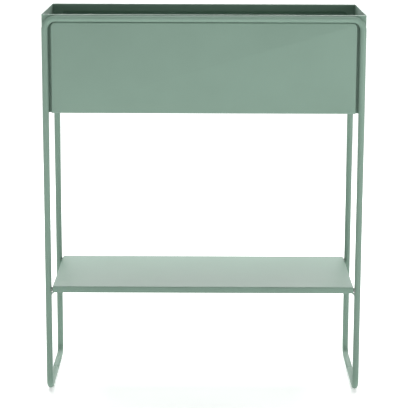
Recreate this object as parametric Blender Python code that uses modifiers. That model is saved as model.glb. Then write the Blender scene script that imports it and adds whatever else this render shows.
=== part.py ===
"""A raised planter: a sheet-steel trough and a shelf on a bent-tube frame.

Metres, +Z up. The origin is on the floor, under the middle of the planter. X runs along the
trough and -Y is the front. Run with: blender --background --python part.py
"""

import math

import bmesh
import bpy
from mathutils import Matrix, Vector

# ---- driving dimensions ------------------------------------------------------------------------

LENGTH = 0.600              # over the legs and the rim, along X
DEPTH = 0.250               # over the legs, along Y
HEIGHT = 0.725              # floor to the top of the rim
CLEARANCE = 0.0003          # left between pieces that touch

TUBE_DIAMETER = 0.012
TUBE_WALL = 0.001
BEND_RADIUS = 0.020         # to the tube's centre line

SHEET = 0.0012              # trough and shelf
TROUGH_HEIGHT = 0.183       # top of the rim to the underside
PANEL_PROUD = 0.009         # how far the long walls are pressed out between the legs
LEG_SLOT = 0.005            # between a leg and the side of the pressed panel

SHELF_TOP = 0.210           # height of the shelf's upper face
SHELF_LIP = 0.012           # depth of the turned-down edges
SPACER_THICKNESS = 0.0012   # between the shelf's lip and a leg
REST_REACH = 0.005          # of the wedge under each shelf corner, inwards and down
REST_WIDTH = 0.004
REST_EDGE = 0.001           # thickness left at the wedge's two tips
STIFFENER_LENGTH = 0.500
STIFFENER_WEB = 0.030
STIFFENER_DEPTH = 0.008
STIFFENER_FLANGE = 0.010
STIFFENER_SHEET = 0.001

SLEEVE_LENGTH = 0.080
SET_SCREW_DIAMETER = 0.004
SET_SCREW_LENGTH = 0.005
SET_SCREW_SPACING = 0.040   # between the two set screws of one sleeve

SCREW_DIAMETER = 0.004
SCREW_HEAD_DIAMETER = 0.0075
SCREW_HEAD_HEIGHT = 0.0022
SCREW_REACH = 0.0065        # how far a screw goes into its rivet nut
NUT_DIAMETER = 0.006
NUT_LENGTH = 0.0085
SEAL_THICKNESS = 0.001
SEAL_DIAMETER = 0.0085
TROUGH_SCREW_DROP = 0.150   # from the top of the rim to the trough's screws

GLIDE_DIAMETER = 0.009
GLIDE_THICKNESS = 0.0015    # lifts the runners off the floor
GLIDE_STEM_DIAMETER = 0.005
GLIDE_STEM_LENGTH = 0.005
GLIDE_SETBACK = 0.035       # from the frame's front or back to a glide

TUBE_SEGMENTS = 16          # sides of a tube's section
BEND_SEGMENTS = 6           # chords in a right-angle bend
CORNER_SEGMENTS = 4         # chords in the pressed panel's corners
TURN_STEPS = 16             # sides of a turned piece
MERGE = 0.00001
OVERCUT = 0.002             # how far a cutter runs past the wall that it cuts

# ---- places that follow from them ----------------------------------------------------------------

TUBE_RADIUS = TUBE_DIAMETER / 2
TUBE_BORE_RADIUS = TUBE_RADIUS - TUBE_WALL
LEG_X = LENGTH / 2 - TUBE_RADIUS
LEG_Y = DEPTH / 2 - TUBE_RADIUS
RUNNER_Z = GLIDE_THICKNESS + CLEARANCE + TUBE_RADIUS
RAIL_Z = HEIGHT - SHEET - CLEARANCE - TUBE_RADIUS

WALL_Y = LEG_Y - TUBE_RADIUS - CLEARANCE            # outer face of the trough's long walls
TROUGH_BOTTOM = HEIGHT - TROUGH_HEIGHT
PANEL_HALF_LENGTH = LEG_X - TUBE_RADIUS - LEG_SLOT
PANEL_TOP = RAIL_Z - TUBE_RADIUS - CLEARANCE
PANEL_CORNER = BEND_RADIUS - TUBE_RADIUS - LEG_SLOT  # keeps clear of the frame's inner bend

SHELF_HALF_LENGTH = LEG_X - TUBE_RADIUS - SPACER_THICKNESS - 2 * CLEARANCE
SHELF_SCREW_Z = SHELF_TOP - SHEET - (SHELF_LIP - SHEET) / 2

FINISHES = {
    "frame": ((0.213, 0.296, 0.250), 0.42, 0.0),
    "trough": ((0.213, 0.296, 0.250), 0.42, 0.0),
    "shelf": ((0.213, 0.296, 0.250), 0.40, 0.0),
    "fastener": ((0.55, 0.55, 0.53), 0.35, 1.0),
    "seal": ((0.025, 0.025, 0.025), 0.75, 0.0),
    "plastic": ((0.060, 0.070, 0.065), 0.55, 0.0),
}

CORNERS = [("front_left", -1, -1), ("front_right", 1, -1), ("rear_left", -1, 1), ("rear_right", 1, 1)]


# ---- the scene -----------------------------------------------------------------------------------

def clear_scene():
    for item in list(bpy.data.objects):
        bpy.data.objects.remove(item, do_unlink=True)


def new_collection(name):
    collection = bpy.data.collections.new(name)
    bpy.context.scene.collection.children.link(collection)
    return collection


def make_finish(node, kind):
    """A finish for one sub-part."""
    colour, roughness, metallic = FINISHES[kind]
    finish = bpy.data.materials.new(node + "_finish")
    finish.use_nodes = True
    shader = finish.node_tree.nodes["Principled BSDF"]
    shader.inputs["Base Color"].default_value = (*colour, 1.0)
    shader.inputs["Roughness"].default_value = roughness
    shader.inputs["Metallic"].default_value = metallic
    return finish


def add_object(name, mesh, collection):
    item = bpy.data.objects.new(name, mesh)
    collection.objects.link(item)
    return item


def add_part(name, mesh, kind):
    item = add_object(name, mesh, PARTS)
    mesh.materials.clear()
    mesh.materials.append(make_finish(name, kind))
    return item


def mesh_from(bm, name):
    mesh = bpy.data.meshes.new(name)
    bm.to_mesh(mesh)
    bm.free()
    return mesh


# ---- shapes ----------------------------------------------------------------------------------------

def cube(low, high):
    """A bmesh cube between two corners."""
    low, high = Vector(low), Vector(high)
    size = high - low
    bm = bmesh.new()
    place = Matrix.Translation((low + high) / 2) @ Matrix.Diagonal((*size, 1.0))
    bmesh.ops.create_cube(bm, size=1.0, matrix=place)
    return bm


def add_solidify(item, thickness, exact_corners=False):
    solidify = item.modifiers.new("wall", "SOLIDIFY")
    solidify.thickness = thickness
    solidify.offset = -1.0
    if exact_corners:
        solidify.solidify_mode = "NON_MANIFOLD"
        solidify.nonmanifold_thickness_mode = "CONSTRAINTS"
        solidify.nonmanifold_boundary_mode = "FLAT"
        solidify.nonmanifold_merge_threshold = MERGE
    else:
        solidify.use_even_offset = True


def add_cut(item, pins):
    """Cuts round holes: each pin is (middle, direction, radius, length)."""
    bm = bmesh.new()
    for middle, direction, radius, length in pins:
        turn = Vector(direction).to_track_quat("Z", "Y").to_matrix().to_4x4()
        bmesh.ops.create_cone(bm, cap_ends=True, segments=TURN_STEPS, radius1=radius, radius2=radius,
                              depth=length, matrix=Matrix.Translation(middle) @ turn)
    cutter = add_object(item.name + "_holes", mesh_from(bm, item.name + "_holes"), CUTTERS)
    cutter.hide_render = True
    cutter.display_type = "WIRE"
    holes = item.modifiers.new("holes", "BOOLEAN")
    holes.operation = "DIFFERENCE"
    holes.solver = "EXACT"
    holes.object = cutter


def turned(name, profile, kind, place, direction):
    """A turned piece. Its profile runs down the outer side, in (radius, height); a profile that
    starts off the axis is closed, as a ring's is."""
    bm = bmesh.new()
    points = [bm.verts.new((radius, 0.0, height)) for radius, height in profile]
    pairs = list(zip(points, points[1:]))
    if profile[0][0] > 0:
        pairs.append((points[-1], points[0]))
    for pair in pairs:
        bm.edges.new(pair)
    item = add_part(name, mesh_from(bm, name), kind)
    screw = item.modifiers.new("turn", "SCREW")
    screw.axis = "Z"
    screw.angle = math.tau
    screw.steps = TURN_STEPS
    screw.render_steps = TURN_STEPS
    screw.use_merge_vertices = True
    screw.merge_threshold = MERGE
    item.location = place
    item.rotation_euler = Vector(direction).to_track_quat("Z", "Y").to_euler()
    return item


# ---- frame -------------------------------------------------------------------------------------------

def arc(centre, first, second):
    """The points of a right-angle bend from centre + first to centre + second."""
    centre, first, second = Vector(centre), Vector(first), Vector(second)
    angles = [math.pi / 2 * step / BEND_SEGMENTS for step in range(BEND_SEGMENTS + 1)]
    return [centre + first * math.cos(angle) + second * math.sin(angle) for angle in angles]


def hoop_path(front):
    """Centre line of one hoop, from the end of one runner half to the other. front is -1 or 1."""
    bend = BEND_RADIUS
    half = [Vector((-LEG_X, front * CLEARANCE / 2, RUNNER_Z))]
    half += arc((-LEG_X, front * (LEG_Y - bend), RUNNER_Z + bend), (0, 0, -bend), (0, front * bend, 0))
    half += arc((-LEG_X + bend, front * LEG_Y, RAIL_Z - bend), (-bend, 0, 0), (0, 0, bend))
    return half + [Vector((-point.x, point.y, point.z)) for point in reversed(half)]


def make_hoop(name, front):
    """A rail, two legs and half of each runner, bent from one tube."""
    path = hoop_path(front)
    curve = bpy.data.curves.new(name, "CURVE")
    curve.dimensions = "3D"
    curve.bevel_depth = TUBE_RADIUS
    curve.bevel_resolution = TUBE_SEGMENTS // 2 - 2
    curve.use_fill_caps = False
    spline = curve.splines.new("POLY")
    spline.points.add(len(path) - 1)
    for point, place in zip(spline.points, path):
        point.co = (*place, 1.0)
    guide = add_object(name + "_guide", curve, PARTS)
    bpy.context.view_layer.update()
    evaluated = guide.evaluated_get(bpy.context.evaluated_depsgraph_get())
    mesh = bpy.data.meshes.new_from_object(evaluated)
    mesh.name = name
    bpy.data.objects.remove(guide, do_unlink=True)
    bm = bmesh.new()
    bm.from_mesh(mesh)
    bmesh.ops.recalc_face_normals(bm, faces=bm.faces)
    bm.to_mesh(mesh)
    bm.free()
    hoop = add_part(name, mesh, "frame")
    mesh.shade_smooth()
    add_solidify(hoop, TUBE_WALL)
    pins = []
    for _, side, end in CORNERS:
        if end == front:
            pins += [trough_nut_hole(side, end), shelf_nut_hole(side, end),
                     set_screw_hole(side, end), glide_hole(side, end)]
    add_cut(hoop, pins)


def make_sleeve(name, side):
    """The rod inside a runner, where the two hoops meet."""
    radius = TUBE_BORE_RADIUS - CLEARANCE
    bm = bmesh.new()
    place = Matrix.Translation((side * LEG_X, 0, RUNNER_Z)) @ Matrix.Rotation(math.pi / 2, 4, "X")
    bmesh.ops.create_cone(bm, cap_ends=True, segments=TUBE_SEGMENTS, radius1=radius, radius2=radius,
                          depth=SLEEVE_LENGTH, matrix=place)
    sleeve = add_part(name, mesh_from(bm, name), "fastener")
    add_cut(sleeve, [set_screw_hole(side, end) for end in (-1, 1)])


def set_screw_place(side, end):
    """The middle of a set screw's outer end, flush with the runner's underside."""
    return Vector((side * LEG_X, end * SET_SCREW_SPACING / 2, RUNNER_Z - TUBE_RADIUS))


def set_screw_hole(side, end):
    reach = SET_SCREW_LENGTH + CLEARANCE
    middle = set_screw_place(side, end) + Vector((0, 0, (reach - OVERCUT) / 2))
    return middle, (0, 0, 1), SET_SCREW_DIAMETER / 2 + CLEARANCE, reach + OVERCUT


def make_set_screw(corner, side, end):
    radius = SET_SCREW_DIAMETER / 2
    profile = [(0, SET_SCREW_LENGTH), (radius, SET_SCREW_LENGTH), (radius, 0), (0, 0)]
    turned("sleeve_screw_" + corner, profile, "fastener", set_screw_place(side, end), (0, 0, 1))


def glide_place(side, end):
    """The middle of the glide's face on the floor."""
    return Vector((side * LEG_X, end * (DEPTH / 2 - GLIDE_SETBACK), 0))


def glide_hole(side, end):
    middle = glide_place(side, end)
    middle.z = RUNNER_Z - TUBE_RADIUS
    return middle, (0, 0, 1), GLIDE_STEM_DIAMETER / 2 + CLEARANCE, TUBE_DIAMETER


def make_glide(corner, side, end):
    """A push-in glide: a disc on the floor, and a stem in the runner's lower wall."""
    radius, stem = GLIDE_DIAMETER / 2, GLIDE_STEM_DIAMETER / 2
    profile = [(0, GLIDE_THICKNESS + GLIDE_STEM_LENGTH), (stem, GLIDE_THICKNESS + GLIDE_STEM_LENGTH),
               (stem, GLIDE_THICKNESS), (radius, GLIDE_THICKNESS), (radius, 0), (0, 0)]
    turned("floor_glide_" + corner, profile, "plastic", glide_place(side, end), (0, 0, 1))


# ---- trough ------------------------------------------------------------------------------------------

def faces_where(bm, test):
    return [face for face in bm.faces if test(face.calc_center_median(), face.normal)]


def make_trough_wrap():
    """Front wall, bottom and back wall folded from one sheet, with a flange over each rail."""
    wall_top = HEIGHT - SHEET
    bm = cube((-LENGTH / 2, -WALL_Y, TROUGH_BOTTOM), (LENGTH / 2, WALL_Y, wall_top))
    open_sides = faces_where(bm, lambda middle, normal: normal.z > 0.5 or abs(normal.x) > 0.5)
    bmesh.ops.delete(bm, geom=open_sides, context="FACES")
    cuts = [((PANEL_HALF_LENGTH, 0, 0), (1, 0, 0)), ((-PANEL_HALF_LENGTH, 0, 0), (1, 0, 0)),
            ((0, 0, PANEL_TOP), (0, 0, 1))]
    for point, normal in cuts:
        everything = bm.verts[:] + bm.edges[:] + bm.faces[:]
        bmesh.ops.bisect_plane(bm, geom=everything, plane_co=point, plane_no=normal, dist=MERGE)
    for front in (-1, 1):
        press_panel(bm, front)
        fold_flange(bm, front, wall_top)
    bmesh.ops.dissolve_limit(bm, angle_limit=math.radians(0.5), verts=bm.verts, edges=bm.edges)
    wrap = add_part("trough_wrap", mesh_from(bm, "trough_wrap"), "trough")
    add_solidify(wrap, SHEET, exact_corners=True)
    add_cut(wrap, [trough_wall_hole(side, end) for _, side, end in CORNERS])


def press_panel(bm, front):
    """Presses one long wall out between the legs, with its upper corners rounded."""
    def on_panel(middle, normal):
        return normal.y * front > 0.5 and abs(middle.x) < PANEL_HALF_LENGTH and middle.z < PANEL_TOP

    flat_faces = faces_where(bm, on_panel)
    pressed = bmesh.ops.extrude_face_region(bm, geom=flat_faces)
    moved = [item for item in pressed["geom"] if isinstance(item, bmesh.types.BMVert)]
    bmesh.ops.delete(bm, geom=flat_faces, context="FACES_ONLY")
    bmesh.ops.translate(bm, verts=moved, vec=(0, front * PANEL_PROUD, 0))
    corners = [edge for edge in bm.edges
               if abs(edge.verts[0].co.y - edge.verts[1].co.y) > PANEL_PROUD / 2
               and all(vert.co.y * front > 0 and abs(vert.co.z - PANEL_TOP) < MERGE for vert in edge.verts)]
    bmesh.ops.bevel(bm, geom=corners, offset=PANEL_CORNER, segments=CORNER_SEGMENTS, profile=0.5,
                    affect="EDGES")


def fold_flange(bm, front, wall_top):
    """Folds the sheet outwards, as far as the crown of the rail."""
    top_edges = [edge for edge in bm.edges if edge.is_boundary
                 and all(vert.co.y * front > 0 and abs(vert.co.z - wall_top) < MERGE for vert in edge.verts)]
    folded = bmesh.ops.extrude_edge_only(bm, edges=top_edges)
    moved = [item for item in folded["geom"] if isinstance(item, bmesh.types.BMVert)]
    bmesh.ops.translate(bm, verts=moved, vec=(0, front * (LEG_Y - WALL_Y), 0))


def make_trough_end(name, side):
    """The plate that closes one end of the trough, inside the folded sheet."""
    outer, inner = LENGTH / 2, LENGTH / 2 - SHEET
    reach = WALL_Y - SHEET - CLEARANCE
    bm = cube((inner, -reach, TROUGH_BOTTOM + SHEET + CLEARANCE), (outer, reach, HEIGHT))
    bmesh.ops.translate(bm, verts=bm.verts, vec=((side - 1) / 2 * (inner + outer), 0, 0))
    add_part(name, mesh_from(bm, name), "trough")


def trough_screw_place(side, end):
    """Where a trough screw's axis meets the wall's inner face."""
    return Vector((side * LEG_X, end * (WALL_Y - SHEET), HEIGHT - TROUGH_SCREW_DROP))


def trough_wall_hole(side, end):
    middle = trough_screw_place(side, end)
    return middle, (0, end, 0), SCREW_DIAMETER / 2 + CLEARANCE, 2 * SHEET + OVERCUT


def trough_nut_hole(side, end):
    middle = trough_screw_place(side, end)
    middle.y = end * (LEG_Y - TUBE_RADIUS)
    return middle, (0, end, 0), NUT_DIAMETER / 2 + CLEARANCE, TUBE_DIAMETER


# ---- shelf ---------------------------------------------------------------------------------------------

def make_shelf_tray():
    """A sheet with four turned-down edges."""
    bm = cube((-SHELF_HALF_LENGTH, -DEPTH / 2, SHELF_TOP - SHELF_LIP),
              (SHELF_HALF_LENGTH, DEPTH / 2, SHELF_TOP))
    bmesh.ops.delete(bm, geom=faces_where(bm, lambda middle, normal: normal.z < -0.5), context="FACES")
    tray = add_part("shelf_tray", mesh_from(bm, "shelf_tray"), "shelf")
    add_solidify(tray, SHEET, exact_corners=True)
    add_cut(tray, [shelf_lip_hole(side, end) for _, side, end in CORNERS])


def make_shelf_stiffener():
    """A hat-shaped channel under the tray: its flanges lie on the sheet, its web hangs down."""
    under = SHELF_TOP - SHEET - CLEARANCE
    web, edge = STIFFENER_WEB / 2, STIFFENER_WEB / 2 + STIFFENER_FLANGE
    low = under - STIFFENER_DEPTH
    outline = [(-edge, under), (-web, under), (-web, low), (web, low), (web, under), (edge, under)]
    bm = bmesh.new()
    points = [bm.verts.new((-STIFFENER_LENGTH / 2, y, z)) for y, z in outline]
    edges = [bm.edges.new(pair) for pair in zip(points, points[1:])]
    drawn = bmesh.ops.extrude_edge_only(bm, edges=edges)
    moved = [item for item in drawn["geom"] if isinstance(item, bmesh.types.BMVert)]
    bmesh.ops.translate(bm, verts=moved, vec=(STIFFENER_LENGTH, 0, 0))
    bmesh.ops.recalc_face_normals(bm, faces=bm.faces)
    if bm.faces[0].normal.z < 0:
        bmesh.ops.reverse_faces(bm, faces=bm.faces)
    stiffener = add_part("shelf_stiffener", mesh_from(bm, "shelf_stiffener"), "shelf")
    add_solidify(stiffener, STIFFENER_SHEET, exact_corners=True)


def shelf_screw_place(side, end):
    """Where a shelf screw's axis meets the lip's inner face."""
    return Vector((side * (SHELF_HALF_LENGTH - SHEET), end * LEG_Y, SHELF_SCREW_Z))


def shelf_lip_hole(side, end):
    middle = shelf_screw_place(side, end)
    return middle, (side, 0, 0), SCREW_DIAMETER / 2 + CLEARANCE, 2 * SHEET + OVERCUT


def shelf_nut_hole(side, end):
    middle = shelf_screw_place(side, end)
    middle.x = side * (LEG_X - TUBE_RADIUS)
    return middle, (side, 0, 0), NUT_DIAMETER / 2 + CLEARANCE, TUBE_DIAMETER


def make_shelf_rest(corner, side, end):
    """A hollow-cornered wedge on the leg, that the shelf's lip stands on."""
    leg_face = side * (LEG_X - TUBE_RADIUS - CLEARANCE)
    tip = leg_face - side * REST_REACH
    top = SHELF_TOP - SHELF_LIP - CLEARANCE
    bottom = top - REST_REACH
    low = (min(leg_face, tip), end * LEG_Y - REST_WIDTH / 2, bottom)
    high = (max(leg_face, tip), end * LEG_Y + REST_WIDTH / 2, top)
    name = "shelf_rest_" + corner
    rest = add_part(name, mesh_from(cube(low, high), name), "frame")
    middle = Vector((tip, end * LEG_Y, bottom))
    add_cut(rest, [(middle, (0, 1, 0), REST_REACH - REST_EDGE, REST_WIDTH + OVERCUT)])


# ---- fasteners -----------------------------------------------------------------------------------------

def make_ring(name, kind, outer_radius, inner_radius, length, place, direction):
    """A washer, spacer or nut: it starts at its place and grows along its direction."""
    profile = [(inner_radius, length), (outer_radius, length), (outer_radius, 0), (inner_radius, 0)]
    turned(name, profile, kind, place, direction)


def make_screw(name, place, direction, grip):
    """A button-head screw whose head's underside is at place. It points along direction, and
    grip is the length of shank before its nut."""
    head, shank = SCREW_HEAD_DIAMETER / 2, SCREW_DIAMETER / 2
    height, length = SCREW_HEAD_HEIGHT, grip + SCREW_REACH
    profile = [(0, length), (shank, length), (shank, 0), (head, 0), (head, -0.35 * height),
               (0.75 * head, -0.8 * height), (0.4 * head, -height), (0, -height)]
    turned(name, profile, "fastener", place, direction)


def make_trough_fixing(corner, side, end):
    """Screw, seal and rivet nut at one leg."""
    outward = Vector((0, end, 0))
    wall = trough_screw_place(side, end)
    shank = SCREW_DIAMETER / 2 + CLEARANCE
    seal = wall - outward * (CLEARANCE + SEAL_THICKNESS)
    head = seal - outward * CLEARANCE
    nut = Vector((wall.x, end * (LEG_Y - TUBE_RADIUS), wall.z))
    make_ring("trough_seal_" + corner, "seal", SEAL_DIAMETER / 2, shank, SEAL_THICKNESS, seal, outward)
    make_ring("trough_nut_" + corner, "fastener", NUT_DIAMETER / 2, shank, NUT_LENGTH, nut, outward)
    make_screw("trough_screw_" + corner, head, outward, abs(nut.y - head.y))


def make_shelf_fixing(corner, side, end):
    """Screw, spacer and rivet nut at one leg."""
    outward = Vector((side, 0, 0))
    lip = shelf_screw_place(side, end)
    shank = SCREW_DIAMETER / 2 + CLEARANCE
    head = lip - outward * CLEARANCE
    spacer = lip + outward * (SHEET + CLEARANCE)
    nut = Vector((side * (LEG_X - TUBE_RADIUS), lip.y, lip.z))
    make_ring("shelf_spacer_" + corner, "plastic", SCREW_HEAD_DIAMETER / 2, shank, SPACER_THICKNESS,
              spacer, outward)
    make_ring("shelf_nut_" + corner, "fastener", NUT_DIAMETER / 2, shank, NUT_LENGTH, nut, outward)
    make_screw("shelf_screw_" + corner, head, outward, abs(nut.x - head.x))


# ---- assembly --------------------------------------------------------------------------------------------

clear_scene()
PARTS = new_collection("raised_planter")
CUTTERS = new_collection("cutters")

make_hoop("front_hoop", -1)
make_hoop("rear_hoop", 1)
make_sleeve("runner_sleeve_left", -1)
make_sleeve("runner_sleeve_right", 1)
make_trough_wrap()
make_trough_end("trough_end_left", -1)
make_trough_end("trough_end_right", 1)
make_shelf_tray()
make_shelf_stiffener()
for corner_name, corner_side, corner_end in CORNERS:
    make_set_screw(corner_name, corner_side, corner_end)
    make_glide(corner_name, corner_side, corner_end)
    make_trough_fixing(corner_name, corner_side, corner_end)
    make_shelf_rest(corner_name, corner_side, corner_end)
    make_shelf_fixing(corner_name, corner_side, corner_end)
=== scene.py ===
"""The looks of a raised planter: a green sheet-steel trough and a shelf on a frame of bent tube.

Metres, +Z up. X runs along the trough and -Y is the front. Every piece is modelled where it
belongs, from the boxes of the solids that it stands for.
"""

import math

import bmesh
import bpy
from mathutils import Matrix, Vector


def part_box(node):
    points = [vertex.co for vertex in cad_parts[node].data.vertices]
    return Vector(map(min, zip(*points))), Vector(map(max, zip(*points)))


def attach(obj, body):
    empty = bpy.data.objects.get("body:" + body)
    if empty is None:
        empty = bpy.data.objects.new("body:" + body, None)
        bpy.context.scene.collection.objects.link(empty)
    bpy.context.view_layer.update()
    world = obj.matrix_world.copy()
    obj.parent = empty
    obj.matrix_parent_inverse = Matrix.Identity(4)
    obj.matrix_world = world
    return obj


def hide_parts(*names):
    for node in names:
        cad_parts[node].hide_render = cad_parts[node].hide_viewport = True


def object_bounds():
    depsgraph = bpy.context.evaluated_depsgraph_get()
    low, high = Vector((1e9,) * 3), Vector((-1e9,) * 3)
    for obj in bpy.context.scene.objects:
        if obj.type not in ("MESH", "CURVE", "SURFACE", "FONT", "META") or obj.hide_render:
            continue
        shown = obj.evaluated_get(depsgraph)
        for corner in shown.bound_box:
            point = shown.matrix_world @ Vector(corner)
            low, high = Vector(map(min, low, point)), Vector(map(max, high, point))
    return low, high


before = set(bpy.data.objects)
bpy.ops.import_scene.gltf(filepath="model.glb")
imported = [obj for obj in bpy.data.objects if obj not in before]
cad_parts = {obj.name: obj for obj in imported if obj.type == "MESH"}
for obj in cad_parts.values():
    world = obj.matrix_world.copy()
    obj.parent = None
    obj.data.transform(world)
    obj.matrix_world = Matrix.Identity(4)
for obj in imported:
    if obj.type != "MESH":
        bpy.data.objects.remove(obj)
CAD_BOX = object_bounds()

# ---- sizes -----------------------------------------------------------------------------------------

TUBE_DIAMETER = 0.012
TUBE_RADIUS = TUBE_DIAMETER / 2
TUBE_WALL = 0.001
BEND_RADIUS = 0.020             # to the tube's centre line
TUBE_SIDES = 40
BEND_STEPS = 14

SHEET = 0.0012                  # trough and shelf
FOLD_RADIUS = 0.0014            # on a fold's outer side
FOLD_STEPS = 4
EDGE_ROUND = 0.00035            # powder coat rounds the cut edges of a sheet
LAID_ON = 0.0003                # gap between two pieces that lie on each other
PANEL_PROUD = 0.009
PANEL_FOLD = 0.0028             # softer folds round the pressed panel
LEG_SLOT = 0.005
PANEL_CORNER = BEND_RADIUS - TUBE_RADIUS - LEG_SLOT
PANEL_CORNER_STEPS = 6
SHELF_FOLD = 0.0018

WELD_RADIUS = 0.0013
WELD_SIDES = 16
WELD_BEND_STEPS = 6
WELD_SUNK = WELD_RADIUS * 0.4   # how far the bead's middle lies in from the plate's edges
WELD_BELOW_RIM = 0.004
WELD_END_ROUND = WELD_RADIUS * 0.5
WELD_END_STEPS = 3

STIFFENER_SHEET = 0.001
STIFFENER_FLANGE = 0.010
STIFFENER_EDGE_ROUND = EDGE_ROUND * 0.8
REST_HOLLOW = 0.8               # the hollow's radius, as a share of the wedge's length
REST_HOLLOW_SIDES = 48

SCREW_RADIUS = 0.002
SCREW_HEAD_RADIUS = 0.00375
SCREW_HEAD_HEIGHT = 0.0022
SCREW_DOME_HEIGHT = SCREW_HEAD_HEIGHT * 0.8
SCREW_DOME_LEANS = (65, 52, 38, 24, 10, 0)    # degrees up the dome, from the flat round the socket
SCREW_TIP_RADIUS = SCREW_RADIUS * 0.7
SET_SCREW_MOUTH_RADIUS = SCREW_RADIUS * 0.8
SET_SCREW_TIP_RADIUS = SCREW_RADIUS * 0.6
THREAD_PITCH = 0.0007
THREAD_DEPTH = 0.00022
SOCKET_ACROSS_FLATS = 0.0025
SOCKET_DEPTH = 0.0012
SMALL_ROUND = 0.00012

NUT_RADIUS = 0.003
NUT_FLANGE_RADIUS = 0.0039
NUT_FLANGE = 0.00028
NUT_BORE_RADIUS = 0.0023
NUT_BULGE_RADIUS = NUT_RADIUS * 1.18
NUT_BARREL_RADIUS = NUT_RADIUS * 0.96
WASHER_BORE_RADIUS = SCREW_RADIUS
SEAL_EDGE_ROUND = 0.0003
SPACER_EDGE_ROUND = 0.0002
WASHER_EDGE_STEPS = 4
GLIDE_STEM_RADIUS = 0.0025
TURNED_SIDES = 32

SAME_POINT = 0.00001            # points closer than this are one point
SEAM_POINT = 0.000001           # the same, where two ends of a route meet
TOUCHING = 0.00005              # how close a point lies to a line that it is on
SQUARE_TO = 0.9                 # least part of a normal along the axis that a face looks along
FOLD_ANGLE = math.radians(50)           # least angle of a fold still to be rounded
CUT_EDGE_ANGLE = math.radians(55)       # least angle of a cut edge
SCREW_EDGE_ANGLE = math.radians(70)     # the same for a screw, so that its thread stays crisp
SMOOTH_ANGLE = math.radians(32)         # faces that meet at less are shaded as one

HOOP_LOW, HOOP_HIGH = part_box("front_hoop")
LEG_X = HOOP_HIGH.x - TUBE_RADIUS
LEG_Y = -HOOP_LOW.y - TUBE_RADIUS
RUNNER_Z = HOOP_LOW.z + TUBE_RADIUS
RAIL_Z = HOOP_HIGH.z - TUBE_RADIUS
SEAM_HALF_GAP = -HOOP_HIGH.y    # where the two hoops meet, half-way along a runner

CORNERS = [(end_name + "_" + side_name, side, end)
           for end_name, end in (("front", -1), ("rear", 1))
           for side_name, side in (("left", -1), ("right", 1))]


# ---- working a piece in edit mode --------------------------------------------------------------------

def take(piece):
    """Makes a piece the only selected one."""
    bpy.ops.object.select_all(action="DESELECT")
    piece.select_set(True)
    bpy.context.view_layer.objects.active = piece


def settle(name):
    """Names the new primitive and moves its place and size into its mesh."""
    piece = bpy.context.active_object
    piece.name = name
    piece.data.name = name
    take(piece)
    bpy.ops.object.transform_apply(location=True, rotation=True, scale=True)
    return piece


def new_block(name, low, high):
    """A block that fills the box between two corners."""
    low, high = Vector(low), Vector(high)
    bpy.ops.object.select_all(action="DESELECT")
    bpy.ops.mesh.primitive_cube_add(size=1, location=(low + high) / 2, scale=high - low)
    return settle(name)


def new_ring(name, radius, sides, middle, facing):
    """An open circle of edges that faces along a direction."""
    turn = Vector(facing).to_track_quat("Z", "Y").to_euler()
    bpy.ops.object.select_all(action="DESELECT")
    bpy.ops.mesh.primitive_circle_add(vertices=sides, radius=radius, fill_type="NOTHING",
                                      location=middle, rotation=turn)
    return settle(name)


def new_bar(name, radius, sides, length, middle, facing):
    """A solid round or hexagonal bar."""
    turn = Vector(facing).to_track_quat("Z", "Y").to_euler()
    bpy.ops.object.select_all(action="DESELECT")
    bpy.ops.mesh.primitive_cylinder_add(vertices=sides, radius=radius, depth=length,
                                        location=middle, rotation=turn)
    return settle(name)


def start_work(piece):
    """Opens a piece in edit mode with nothing selected."""
    take(piece)
    bpy.ops.object.mode_set(mode="EDIT")
    bpy.ops.mesh.select_mode(type="EDGE")
    bpy.ops.mesh.select_all(action="DESELECT")


def end_work():
    bpy.ops.object.mode_set(mode="OBJECT")


def pick_faces(test):
    """Selects only the faces whose middle and normal pass the test."""
    bpy.ops.mesh.select_mode(type="FACE")
    bpy.ops.mesh.select_all(action="DESELECT")
    mesh = bpy.context.edit_object.data
    for face in bmesh.from_edit_mesh(mesh).faces:
        if test(face.calc_center_median(), face.normal):
            face.select_set(True)
    bmesh.update_edit_mesh(mesh)


def pick_edges(test):
    """Selects only the edges that have both ends passing the test."""
    bpy.ops.mesh.select_mode(type="EDGE")
    bpy.ops.mesh.select_all(action="DESELECT")
    mesh = bpy.context.edit_object.data
    for edge in bmesh.from_edit_mesh(mesh).edges:
        if all(test(end.co) for end in edge.verts):
            edge.select_set(True)
    bmesh.update_edit_mesh(mesh)


def pick_folds():
    """Selects only the edges where two faces meet at a sharp angle."""
    bpy.ops.mesh.select_mode(type="EDGE")
    bpy.ops.mesh.select_all(action="DESELECT")
    mesh = bpy.context.edit_object.data
    for edge in bmesh.from_edit_mesh(mesh).edges:
        if len(edge.link_faces) == 2 and edge.calc_face_angle() > FOLD_ANGLE:
            edge.select_set(True)
    bmesh.update_edit_mesh(mesh)


def keep_picked(test):
    """Keeps only the picked edges that have both ends passing the test."""
    mesh = bpy.context.edit_object.data
    for edge in bmesh.from_edit_mesh(mesh).edges:
        if edge.select and not all(test(end.co) for end in edge.verts):
            edge.select_set(False)
    bmesh.update_edit_mesh(mesh)


def extrude(move):
    """Draws what is picked out along a move; the new end stays picked."""
    bpy.ops.mesh.extrude_region_move(TRANSFORM_OT_translate={"value": tuple(move)})


def slice_all(point, normal):
    """Cuts new edges through the whole piece where a plane crosses it."""
    bpy.ops.mesh.select_all(action="SELECT")
    bpy.ops.mesh.bisect(plane_co=tuple(point), plane_no=tuple(normal))


def round_picked(radius, steps):
    bpy.ops.mesh.bevel(offset=radius, segments=steps, affect="EDGES", clamp_overlap=True)


def near(first, second):
    return abs(first - second) < TOUCHING


# ---- finishing a piece ---------------------------------------------------------------------------------

def apply_modifier(piece, modifier):
    take(piece)
    bpy.ops.object.modifier_apply(modifier=modifier.name)


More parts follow.
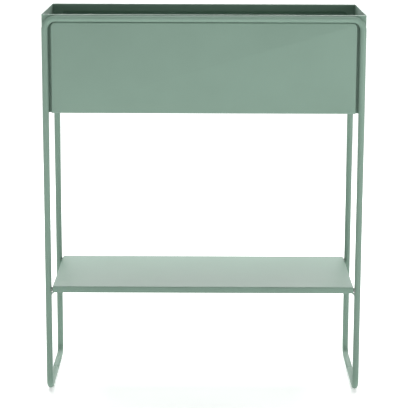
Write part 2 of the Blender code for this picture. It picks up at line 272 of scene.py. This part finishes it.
def give_wall(piece, thickness):
    """Thickens a sheet inwards, away from its outer side."""
    wall = piece.modifiers.new("wall", "SOLIDIFY")
    wall.thickness = thickness
    wall.offset = -1.0
    wall.use_even_offset = True
    wall.use_quality_normals = True
    apply_modifier(piece, wall)


def round_edges(piece, radius, steps=2, least_angle=CUT_EDGE_ANGLE):
    """Rounds every edge of a piece that is sharper than an angle."""
    soften = piece.modifiers.new("soften", "BEVEL")
    soften.width = radius
    soften.segments = steps
    soften.limit_method = "ANGLE"
    soften.angle_limit = least_angle
    soften.use_clamp_overlap = True
    apply_modifier(piece, soften)


def cut_away(piece, cutter):
    """Takes a cutter's shape out of a piece, and removes the cutter."""
    hole = piece.modifiers.new("hole", "BOOLEAN")
    hole.operation = "DIFFERENCE"
    hole.solver = "EXACT"
    hole.object = cutter
    apply_modifier(piece, hole)
    bpy.data.objects.remove(cutter)


def smooth(piece):
    """Joins points that a cut or a bevel left on top of each other, then shades the piece."""
    start_work(piece)
    bpy.ops.mesh.select_all(action="SELECT")
    bpy.ops.mesh.remove_doubles(threshold=SAME_POINT)
    bpy.ops.mesh.dissolve_degenerate(threshold=SEAM_POINT)
    end_work()
    bpy.ops.object.shade_smooth_by_angle(angle=SMOOTH_ANGLE)


def place_copy(master, name, point, direction):
    """A copy of a piece made at the origin along +Z, with its own mesh, in its place."""
    piece = master.copy()
    piece.data = master.data.copy()
    piece.name = name
    piece.data.name = name
    bpy.context.collection.objects.link(piece)
    turn = Vector(direction).to_track_quat("Z", "Y").to_matrix().to_4x4()
    piece.matrix_world = Matrix.Translation(point) @ turn
    take(piece)
    bpy.ops.object.transform_apply(location=True, rotation=True, scale=True)
    return piece


def put_on(piece, slot, finish, *nodes):
    """Hands a finished piece over: its finish, its body and the solids it stands for."""
    piece.data.materials.clear()
    piece.data.materials.append(finish)
    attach(piece, "root")
    if nodes:
        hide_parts(*nodes)


# ---- shader maths --------------------------------------------------------------------------------------

BLACK = (0.0, 0.0, 0.0, 1.0)
WHITE = (1.0, 1.0, 1.0, 1.0)


class Amount:
    """A number on its way through a finish, so that node maths reads as a sum."""

    def __init__(self, finish, socket):
        self.finish = finish
        self.socket = socket

    def combine(self, operation, first, second):
        return self.finish.add("ShaderNodeMath", {"operation": operation}, {0: first, 1: second})

    def __add__(self, other):
        return self.combine("ADD", self, other)

    def __radd__(self, other):
        return self.combine("ADD", other, self)

    def __mul__(self, other):
        return self.combine("MULTIPLY", self, other)

    def __rmul__(self, other):
        return self.combine("MULTIPLY", other, self)


class Finish:
    """A material under way: a Principled shader and the nodes that vary it."""

    def __init__(self, name):
        self.material = bpy.data.materials.new(name)
        self.material.use_nodes = True
        self.nodes = self.material.node_tree.nodes
        self.links = self.material.node_tree.links
        self.shader = self.nodes["Principled BSDF"]
        self.place = self.add("ShaderNodeTexCoord", {}, {}, "Object")

    def add(self, kind, settings, inputs, output=0):
        """Adds a node: its settings first, then the values or links of its sockets."""
        node = self.nodes.new(kind)
        for key, value in settings.items():
            if key == "stops":
                self.set_stops(node.color_ramp, value)
            else:
                setattr(node, key, value)
        for key, value in inputs.items():
            self.feed(node.inputs[key], value)
        return Amount(self, node.outputs[output])

    def set_stops(self, ramp, stops):
        for stop, (position, colour) in zip(ramp.elements, stops):
            stop.position = position
            stop.color = colour

    def feed(self, socket, value):
        if isinstance(value, Amount):
            self.links.new(value.socket, socket)
        else:
            socket.default_value = value

    def noise(self, scale, detail, roughness):
        """A soft noise from 0 to 1, with scale patches to the metre."""
        return self.add("ShaderNodeTexNoise", {},
                        {"Vector": self.place, "Scale": scale, "Detail": detail,
                         "Roughness": roughness})

    def ramp(self, amount, low, high):
        """Stretches the part of an amount that lies between two values to run from 0 to 1."""
        return self.add("ShaderNodeValToRGB", {"stops": [(low, BLACK), (high, WHITE)]},
                        {"Fac": amount})

    def blend(self, share, first, second):
        """Mixes two colours by a share from 0 to 1."""
        return self.add("ShaderNodeMix", {"data_type": "RGBA"}, {0: share, 6: first, 7: second}, 2)

    def set(self, **values):
        """Sets the shader's sockets; names use _ for a space."""
        for key, value in values.items():
            self.feed(self.shader.inputs[key.replace("_", " ")], value)

    def bump(self, height, depth):
        """Turns a height from 0 to 1 into a relief that is depth metres deep."""
        relief = self.add("ShaderNodeBump", {}, {"Strength": 1.0, "Distance": depth, "Height": height})
        self.set(Normal=relief)


def shade(colour, factor):
    """A lighter or darker tone of a colour."""
    return tuple(min(1.0, part * factor) for part in colour[:3]) + (1.0,)


# ---- finishes ------------------------------------------------------------------------------------------

POWDER_GREEN = (0.195, 0.290, 0.235, 1.0)
SPECK_SHARE = 0.22
ZINC_DULL = (0.50, 0.51, 0.50, 1.0)
ZINC_BRIGHT = (0.62, 0.62, 0.59, 1.0)
RUBBER_CLEAN = (0.020, 0.020, 0.020, 1.0)
RUBBER_DUSTY = (0.038, 0.037, 0.035, 1.0)
PLASTIC_DARK = (0.054, 0.063, 0.059, 1.0)
PLASTIC_LIGHT = (0.068, 0.078, 0.073, 1.0)


def make_powder_coat(name, colour, roughness, gloss):
    """Satin powder coat: an even colour with slow clouds, fine specks and an orange-peel skin."""
    coat = Finish(name)
    clouds = coat.ramp(coat.noise(scale=7.0, detail=3.0, roughness=0.55), 0.30, 0.72)
    specks = coat.ramp(coat.noise(scale=1900.0, detail=1.0, roughness=0.4), 0.62, 0.74)
    body = coat.blend(clouds, shade(colour, 0.965), shade(colour, 1.035))
    coat.set(Base_Color=coat.blend(specks * SPECK_SHARE, body, shade(colour, 1.30)))
    peel = coat.noise(scale=420.0, detail=2.0, roughness=0.45)
    grain = coat.noise(scale=2600.0, detail=1.0, roughness=0.5)
    coat.set(Roughness=roughness - 0.03 + clouds * 0.03 + grain * 0.05)
    coat.bump(peel * 0.8 + grain * 0.2, depth=0.00005)
    coat.set(Metallic=0.0, Specular_IOR_Level=gloss)
    return coat.material


def make_zinc_plate():
    """Bright zinc on turned steel, with fine turning marks and dull patches."""
    zinc = Finish("zinc_plate")
    patches = zinc.ramp(zinc.noise(scale=260.0, detail=3.0, roughness=0.6), 0.35, 0.70)
    zinc.set(Base_Color=zinc.blend(patches, ZINC_DULL, ZINC_BRIGHT))
    scratches = zinc.noise(scale=5200.0, detail=2.0, roughness=0.6)
    zinc.set(Roughness=0.26 + patches * 0.10 + scratches * 0.08)
    zinc.bump(scratches, depth=0.00002)
    zinc.set(Metallic=1.0)
    return zinc.material


def make_black_rubber():
    """Matte rubber with a dusty bloom."""
    rubber = Finish("black_rubber")
    bloom = rubber.ramp(rubber.noise(scale=480.0, detail=4.0, roughness=0.6), 0.40, 0.75)
    rubber.set(Base_Color=rubber.blend(bloom, RUBBER_CLEAN, RUBBER_DUSTY))
    grain = rubber.noise(scale=4200.0, detail=2.0, roughness=0.5)
    rubber.set(Roughness=0.68 + bloom * 0.12)
    rubber.bump(grain, depth=0.00004)
    return rubber.material


def make_grey_plastic():
    """Moulded dark plastic with a fine spark-eroded grain."""
    plastic = Finish("grey_plastic")
    flow = plastic.ramp(plastic.noise(scale=90.0, detail=2.0, roughness=0.5), 0.35, 0.70)
    plastic.set(Base_Color=plastic.blend(flow, PLASTIC_DARK, PLASTIC_LIGHT))
    grain = plastic.noise(scale=3600.0, detail=3.0, roughness=0.6)
    plastic.set(Roughness=0.46 + grain * 0.14)
    plastic.bump(grain, depth=0.00005)
    return plastic.material


FRAME_COAT = make_powder_coat("frame_powder_coat", POWDER_GREEN, roughness=0.38, gloss=0.16)
TROUGH_COAT = make_powder_coat("trough_powder_coat", POWDER_GREEN, roughness=0.42, gloss=0.18)
SHELF_COAT = make_powder_coat("shelf_powder_coat", POWDER_GREEN, roughness=0.42, gloss=0.16)
ZINC = make_zinc_plate()
RUBBER = make_black_rubber()
PLASTIC = make_grey_plastic()


# ---- bent tube -----------------------------------------------------------------------------------------

def sweep_bar(name, radius, sides, points, bend_radius, bend_steps):
    """A ring of edges led along a route with square, rounded corners. Stays in edit mode."""
    start = points[0]
    piece = new_ring(name, radius, sides, start, points[1] - start)
    start_work(piece)
    bpy.ops.mesh.select_all(action="SELECT")
    for before, corner, after in zip(points, points[1:], points[2:]):
        way_in = (corner - before).normalized()
        way_out = (after - corner).normalized()
        bend_start = corner - way_in * bend_radius
        extrude(bend_start - start)
        middle = bend_start + way_out * bend_radius
        axis = way_in.cross(way_out)
        bpy.ops.mesh.spin(steps=bend_steps, angle=-math.pi / 2, center=tuple(middle), axis=tuple(axis))
        start = corner + way_out * bend_radius
    extrude(points[-1] - start)
    bpy.ops.mesh.select_all(action="SELECT")
    bpy.ops.mesh.remove_doubles(threshold=SEAM_POINT)
    bpy.ops.mesh.normals_make_consistent(inside=False)
    return piece


def make_hoop(node, end):
    """Half a runner, a leg, the rail, the other leg and half a runner, in one bent tube."""
    seam = end * SEAM_HALF_GAP
    points = [Vector((-LEG_X, seam, RUNNER_Z)), Vector((-LEG_X, end * LEG_Y, RUNNER_Z)),
              Vector((-LEG_X, end * LEG_Y, RAIL_Z)), Vector((LEG_X, end * LEG_Y, RAIL_Z)),
              Vector((LEG_X, end * LEG_Y, RUNNER_Z)), Vector((LEG_X, seam, RUNNER_Z))]
    hoop = sweep_bar(node + "_tube", TUBE_RADIUS, TUBE_SIDES, points, BEND_RADIUS, BEND_STEPS)
    end_work()
    give_wall(hoop, TUBE_WALL)
    round_edges(hoop, EDGE_ROUND)
    smooth(hoop)
    put_on(hoop, "frame", FRAME_COAT, node)


# ---- trough --------------------------------------------------------------------------------------------

def make_trough_wrap():
    """Front wall, floor and back wall in one folded sheet, with a flange over each rail and a
    panel pressed out of each wall between the legs."""
    low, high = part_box("trough_wrap")
    wall_y = LEG_Y - TUBE_RADIUS - LAID_ON
    flange_z = high.z - SHEET
    panel_x = LEG_X - TUBE_RADIUS - LEG_SLOT
    panel_z = RAIL_Z - TUBE_RADIUS - LAID_ON
    panel_y = wall_y + PANEL_PROUD
    wrap = new_block("trough_wrap_sheet", (low.x, -wall_y, low.z), (high.x, wall_y, flange_z))
    start_work(wrap)
    pick_faces(lambda middle, normal: normal.z > SQUARE_TO or abs(normal.x) > SQUARE_TO)
    bpy.ops.mesh.delete(type="FACE")
    for x in (-panel_x, panel_x):
        slice_all((x, 0, 0), (1, 0, 0))
    slice_all((0, 0, panel_z), (0, 0, 1))
    for end in (-1, 1):
        pick_faces(lambda middle, normal: end * normal.y > SQUARE_TO and abs(middle.x) < panel_x
                   and middle.z < panel_z)
        extrude((0, end * PANEL_PROUD, 0))
        for x in (-panel_x, panel_x):
            pick_edges(lambda point: near(point.x, x) and near(point.z, panel_z) and end * point.y > 0)
            round_picked(PANEL_CORNER, PANEL_CORNER_STEPS)
        pick_edges(lambda point: near(point.z, flange_z) and near(point.y, end * wall_y))
        extrude((0, end * (LEG_Y - wall_y), 0))
    pick_folds()
    keep_picked(lambda point: near(abs(point.y), panel_y))
    round_picked(PANEL_FOLD, FOLD_STEPS)
    pick_folds()
    round_picked(FOLD_RADIUS, FOLD_STEPS)
    end_work()
    give_wall(wrap, SHEET)
    round_edges(wrap, EDGE_ROUND)
    smooth(wrap)
    put_on(wrap, "trough", TROUGH_COAT, "trough_wrap")


def make_trough_end(side_name, side):
    """A flat end plate and the bead that welds it into the folded sheet."""
    node = "trough_end_" + side_name
    low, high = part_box(node)
    plate = new_block(node + "_plate", low, high)
    round_edges(plate, EDGE_ROUND)
    smooth(plate)
    put_on(plate, "trough", TROUGH_COAT, node)
    x = low.x if side > 0 else high.x
    front, back = low.y + WELD_SUNK, high.y - WELD_SUNK
    bottom, top = low.z + WELD_SUNK, high.z - WELD_BELOW_RIM
    points = [Vector((x, front, top)), Vector((x, front, bottom)),
              Vector((x, back, bottom)), Vector((x, back, top))]
    bead = sweep_bar("trough_weld_" + side_name, WELD_RADIUS, WELD_SIDES, points,
                     2 * WELD_RADIUS, WELD_BEND_STEPS)
    bpy.ops.mesh.fill_holes(sides=0)
    end_work()
    round_edges(bead, WELD_END_ROUND, WELD_END_STEPS)
    smooth(bead)
    put_on(bead, "trough", TROUGH_COAT)


# ---- shelf ---------------------------------------------------------------------------------------------

def make_shelf():
    """A tray with its edges turned down and its corners closed."""
    low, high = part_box("shelf_tray")
    shelf = new_block("shelf_sheet", low, high)
    start_work(shelf)
    pick_faces(lambda middle, normal: normal.z < -SQUARE_TO)
    bpy.ops.mesh.delete(type="FACE")
    pick_edges(lambda point: near(point.z, high.z))
    round_picked(SHELF_FOLD, FOLD_STEPS)
    end_work()
    give_wall(shelf, SHEET)
    round_edges(shelf, EDGE_ROUND)
    smooth(shelf)
    put_on(shelf, "shelf", SHELF_COAT, "shelf_tray")


def make_stiffener():
    """A hat channel that is welded under the shelf by its two flanges."""
    low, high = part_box("shelf_stiffener")
    web_y = high.y - STIFFENER_FLANGE
    flange_z = high.z - STIFFENER_SHEET
    channel = new_block("shelf_stiffener_channel", (low.x, -web_y, low.z), (high.x, web_y, flange_z))
    start_work(channel)
    pick_faces(lambda middle, normal: normal.z > SQUARE_TO or abs(normal.x) > SQUARE_TO)
    bpy.ops.mesh.delete(type="FACE")
    for end in (-1, 1):
        pick_edges(lambda point: near(point.z, flange_z) and near(point.y, end * web_y))
        extrude((0, end * STIFFENER_FLANGE, 0))
    pick_folds()
    round_picked(FOLD_RADIUS, FOLD_STEPS)
    end_work()
    give_wall(channel, STIFFENER_SHEET)
    round_edges(channel, STIFFENER_EDGE_ROUND)
    smooth(channel)
    put_on(channel, "shelf", SHELF_COAT, "shelf_stiffener")


def make_shelf_rest(corner, side):
    """A hollow-cornered wedge welded to the leg under the shelf."""
    node = "shelf_rest_" + corner
    low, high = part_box(node)
    rest = new_block(node + "_wedge", low, high)
    inner_x = low.x if side > 0 else high.x
    middle = Vector((inner_x, (low.y + high.y) / 2, low.z))
    cutter = new_bar("hollow", (high.x - low.x) * REST_HOLLOW, REST_HOLLOW_SIDES,
                     2 * (high.y - low.y), middle, (0, 1, 0))
    cut_away(rest, cutter)
    round_edges(rest, EDGE_ROUND)
    smooth(rest)
    put_on(rest, "frame", FRAME_COAT, node)


# ---- turned pieces -------------------------------------------------------------------------------------

def turn_up(name, rings, closed=False):
    """A turned piece on +Z: a ring of edges led through each (radius, height)."""
    radius, height = rings[0]
    piece = new_ring(name, radius, TURNED_SIDES, (0, 0, height), (0, 0, 1))
    start_work(piece)
    bpy.ops.mesh.select_all(action="SELECT")
    for next_radius, next_height in rings[1:]:
        extrude((0, 0, next_height - height))
        grow = next_radius / radius
        bpy.ops.transform.resize(value=(grow, grow, 1), center_override=(0, 0, next_height))
        radius, height = next_radius, next_height
    bpy.ops.mesh.select_all(action="SELECT")
    if closed:
        bpy.ops.mesh.remove_doubles(threshold=SEAM_POINT)
    else:
        bpy.ops.mesh.fill_holes(sides=0)
    bpy.ops.mesh.select_all(action="SELECT")
    bpy.ops.mesh.normals_make_consistent(inside=False)
    end_work()
    return piece


def socket_cutter():
    """A hexagonal bar that cuts a key socket into the end of a screw at the origin."""
    radius = SOCKET_ACROSS_FLATS / 2 / math.cos(math.pi / 6)
    return new_bar("socket", radius, 6, 2 * SOCKET_DEPTH, (0, 0, 0), (0, 0, 1))


def thread_rings(start, end):
    """Crests and roots of a thread from one height to another."""
    turns = int((end - start) / THREAD_PITCH)
    rings = []
    for turn in range(turns):
        height = start + turn * THREAD_PITCH
        rings.append((SCREW_RADIUS - THREAD_DEPTH, height))
        rings.append((SCREW_RADIUS, height + THREAD_PITCH / 2))
    rings.append((SCREW_RADIUS - THREAD_DEPTH, start + turns * THREAD_PITCH))
    return rings


def turn_button_screw(name, length):
    """A button-head screw: its head starts at the origin and its shank runs along +Z."""
    head = [(SCREW_HEAD_RADIUS * math.cos(lean), SCREW_DOME_HEIGHT * (1 - math.sin(lean)))
            for lean in map(math.radians, SCREW_DOME_LEANS)]
    head.append((SCREW_HEAD_RADIUS, SCREW_HEAD_HEIGHT))
    shank = [(SCREW_RADIUS, SCREW_HEAD_HEIGHT), (SCREW_RADIUS, SCREW_HEAD_HEIGHT + THREAD_PITCH)]
    thread = thread_rings(SCREW_HEAD_HEIGHT + 2 * THREAD_PITCH, length - THREAD_PITCH)
    screw = turn_up(name, head + shank + thread + [(SCREW_TIP_RADIUS, length)])
    cut_away(screw, socket_cutter())
    round_edges(screw, SMALL_ROUND, 1, SCREW_EDGE_ANGLE)
    smooth(screw)
    return screw


def turn_set_screw(name, length):
    """A headless screw with a key socket and a narrower flat point."""
    thread = thread_rings(THREAD_PITCH / 2, length - THREAD_PITCH)
    screw = turn_up(name, [(SET_SCREW_MOUTH_RADIUS, 0)] + thread + [(SET_SCREW_TIP_RADIUS, length)])
    cut_away(screw, socket_cutter())
    smooth(screw)
    return screw


def turn_rivet_nut(name, length):
    """A rivet nut: a thin flange, a neck, the bulge behind the tube's wall and a barrel."""
    flange = NUT_FLANGE
    rings = [(NUT_BORE_RADIUS, 0), (NUT_FLANGE_RADIUS, 0), (NUT_FLANGE_RADIUS, flange),
             (NUT_RADIUS, flange), (NUT_RADIUS, flange + TUBE_WALL),
             (NUT_BULGE_RADIUS, flange + TUBE_WALL * 1.3), (NUT_BULGE_RADIUS, flange + TUBE_WALL * 1.9),
             (NUT_BARREL_RADIUS, flange + TUBE_WALL * 2.4), (NUT_BARREL_RADIUS, length),
             (NUT_BORE_RADIUS, length), (NUT_BORE_RADIUS, 0)]
    nut = turn_up(name, rings, closed=True)
    round_edges(nut, SMALL_ROUND)
    smooth(nut)
    return nut


def turn_washer(name, outer, length, edge):
    """A seal or a spacer, with rounded edges."""
    inner = WASHER_BORE_RADIUS
    washer = turn_up(name, [(inner, 0), (outer, 0), (outer, length), (inner, length), (inner, 0)],
                     closed=True)
    round_edges(washer, edge, WASHER_EDGE_STEPS)
    smooth(washer)
    return washer


def turn_glide(name, height):
    """A push-in glide: a domed pad that stands on the floor and a barbed stem."""
    pad = width_of("floor_glide_front_left", 0) / 2
    stem = GLIDE_STEM_RADIUS
    top = HOOP_LOW.z - LAID_ON
    dome = [(pad * 0.80, 0), (pad * 0.93, top * 0.12), (pad, top * 0.45), (pad, top * 0.8),
            (pad * 0.95, top)]
    barbs = [(stem, top), (stem, top + 0.0014), (stem * 1.12, top + 0.0018),
             (stem * 0.95, top + 0.0032), (stem * 1.08, top + 0.0036), (stem * 0.6, height)]
    glide = turn_up(name, dome + barbs)
    smooth(glide)
    return glide


def start_of(node, direction):
    """The middle of the end of a node's box where a piece that runs along a direction begins."""
    low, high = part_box(node)
    middle, half = (low + high) / 2, (high - low) / 2
    return middle - Vector(direction) * abs(half.dot(Vector(direction)))


def width_of(node, axis):
    """How far a node's box reaches along an axis: 0 for X, 1 for Y, 2 for Z."""
    low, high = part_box(node)
    return high[axis] - low[axis]


def make_fasteners():
    """Models each kind once and copies it to its four corners."""
    seal, spacer = "trough_seal_front_left", "shelf_spacer_front_left"
    kinds = [
        ("trough_screw", "fastener", ZINC, "y",
         turn_button_screw("trough_screw_master", width_of("trough_screw_front_left", 1))),
        ("trough_seal", "seal", RUBBER, "y",
         turn_washer("seal_master", width_of(seal, 0) / 2, width_of(seal, 1), SEAL_EDGE_ROUND)),
        ("trough_nut", "fastener", ZINC, "y",
         turn_rivet_nut("trough_nut_master", width_of("trough_nut_front_left", 1))),
        ("shelf_screw", "fastener", ZINC, "x",
         turn_button_screw("shelf_screw_master", width_of("shelf_screw_front_left", 0))),
        ("shelf_spacer", "plastic", PLASTIC, "x",
         turn_washer("spacer_master", width_of(spacer, 2) / 2, width_of(spacer, 0), SPACER_EDGE_ROUND)),
        ("shelf_nut", "fastener", ZINC, "x",
         turn_rivet_nut("shelf_nut_master", width_of("shelf_nut_front_left", 0))),
        ("sleeve_screw", "fastener", ZINC, "up",
         turn_set_screw("set_screw_master", width_of("sleeve_screw_front_left", 2))),
        ("floor_glide", "plastic", PLASTIC, "up",
         turn_glide("glide_master", width_of("floor_glide_front_left", 2))),
    ]
    for kind, slot, finish, way, master in kinds:
        for corner, side, end in CORNERS:
            node = kind + "_" + corner
            direction = {"x": (side, 0, 0), "y": (0, end, 0), "up": (0, 0, 1)}[way]
            piece = place_copy(master, node + "_piece", start_of(node, direction), direction)
            put_on(piece, slot, finish, node)
        bpy.data.objects.remove(master)


# ---- the room ------------------------------------------------------------------------------------------

FLOOR_RADIUS = 11.0
FLOOR_SIDES = 96
FLOOR_WALL = 2.4                # height of the wall that the floor sweeps up into
FLOOR_SWEEP = 1.2
FLOOR_SWEEP_STEPS = 8
FLOOR_GLOW = 0.45
FLOOR_WHITE_LOW = (0.86, 0.86, 0.86, 1.0)
FLOOR_WHITE_HIGH = (0.88, 0.88, 0.88, 1.0)

FRONT_AIM = (0, 0, 0.66)        # the front lights reach the trough and little else
FRONT_WIDTH = 0.5
FRONT_HEIGHT = 0.14
FRONT_SPREAD = math.radians(56)
BACK_AIM = (0, 0.15, 0.28)      # the back light brightens the shelf and the rim
BACK_WIDTH = 2.6
BACK_HEIGHT = 1.0
OVERHEAD_POWER = 2.5
OVERHEAD_ANGLE = math.radians(55)
OVERHEAD_WAY = (0.0, -0.34, -1.0)
ROOM_LIGHT = 0.17

CAMERA_LENS = 146.5
CAMERA_SENSOR = 36.0
CAMERA_PLACE = (0.0013, CAD_BOX[0].y - 3.055, 1.012)
CAMERA_DOWN = math.radians(11.85)
CAMERA_ROLL = math.radians(0.2)


def make_floor():
    """A round white studio floor that sweeps up into a low wall."""
    floor = new_ring("studio_sweep", FLOOR_RADIUS, FLOOR_SIDES, (0, 0, 0), (0, 0, 1))
    start_work(floor)
    bpy.ops.mesh.select_all(action="SELECT")
    bpy.ops.mesh.edge_face_add()
    pick_edges(lambda point: True)
    extrude((0, 0, FLOOR_WALL))
    pick_edges(lambda point: near(point.z, 0))
    round_picked(FLOOR_SWEEP, FLOOR_SWEEP_STEPS)
    end_work()
    smooth(floor)
    white = Finish("studio_white")
    tone = white.ramp(white.noise(scale=0.6, detail=2.0, roughness=0.5), 0.35, 0.65)
    white.set(Base_Color=white.blend(tone, FLOOR_WHITE_LOW, FLOOR_WHITE_HIGH))
    white.set(Roughness=0.9, Specular_IOR_Level=0.1)
    white.set(Emission_Color=WHITE, Emission_Strength=FLOOR_GLOW)
    floor.data.materials.append(white.material)


def make_lamp(name, kind, power, way):
    """A lamp that shines along a direction."""
    data = bpy.data.lights.new(name, kind)
    data.energy = power
    lamp = bpy.data.objects.new(name, data)
    bpy.context.collection.objects.link(lamp)
    lamp.rotation_euler = Vector(way).to_track_quat("-Z", "Y").to_euler()
    return lamp


def make_soft_light(name, place, aim, width, height, power, spread=math.pi):
    """A flat rectangular lamp, aimed at a point and out of the camera's sight."""
    lamp = make_lamp(name, "AREA", power, Vector(aim) - Vector(place))
    lamp.data.shape = "RECTANGLE"
    lamp.data.size = width
    lamp.data.size_y = height
    lamp.data.spread = spread
    lamp.location = place
    lamp.visible_camera = False


def make_front_light(name, place, power):
    """A small lamp at the trough's height, off to one side of the camera."""
    make_soft_light(name, place, FRONT_AIM, FRONT_WIDTH, FRONT_HEIGHT, power, FRONT_SPREAD)


def make_overhead_light():
    """A very broad light from above that whitens the floor and leaves faint shadows at the feet."""
    lamp = make_lamp("overhead_light", "SUN", OVERHEAD_POWER, OVERHEAD_WAY)
    lamp.data.angle = OVERHEAD_ANGLE


def make_room_light():
    """Even white light from all round."""
    world = bpy.data.worlds.new("studio")
    bpy.context.scene.world = world
    world.use_nodes = True
    background = world.node_tree.nodes["Background"]
    background.inputs["Color"].default_value = WHITE
    background.inputs["Strength"].default_value = ROOM_LIGHT


def make_camera():
    """A long lens a little above the rim, looking slightly down."""
    data = bpy.data.cameras.new("camera")
    data.lens = CAMERA_LENS
    data.sensor_width = CAMERA_SENSOR
    camera = bpy.data.objects.new("camera", data)
    bpy.context.collection.objects.link(camera)
    camera.location = CAMERA_PLACE
    look = Matrix.Rotation(math.pi / 2 - CAMERA_DOWN, 4, "X") @ Matrix.Rotation(CAMERA_ROLL, 4, "Z")
    camera.rotation_euler = look.to_euler()
    bpy.context.scene.camera = camera


make_camera()
make_floor()
make_front_light("front_left_light", (-1.05, -1.60, 0.67), 0.32)
make_front_light("front_right_light", (1.55, -1.25, 0.67), 1.00)
make_soft_light("back_light", (0.0, 2.0, 1.45), BACK_AIM, BACK_WIDTH, BACK_HEIGHT, 50.0)
make_overhead_light()
make_room_light()
bpy.context.scene.view_settings.view_transform = "Standard"


# ---- the planter ---------------------------------------------------------------------------------------

make_hoop("front_hoop", -1)
make_hoop("rear_hoop", 1)
make_trough_wrap()
make_trough_end("left", -1)
make_trough_end("right", 1)
make_shelf()
make_stiffener()
for corner, side, end in CORNERS:
    make_shelf_rest(corner, side)
make_fasteners()
for node in ("runner_sleeve_left", "runner_sleeve_right"):
    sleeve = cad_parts[node]
    sleeve.data.materials.clear()
    sleeve.data.materials.append(ZINC)
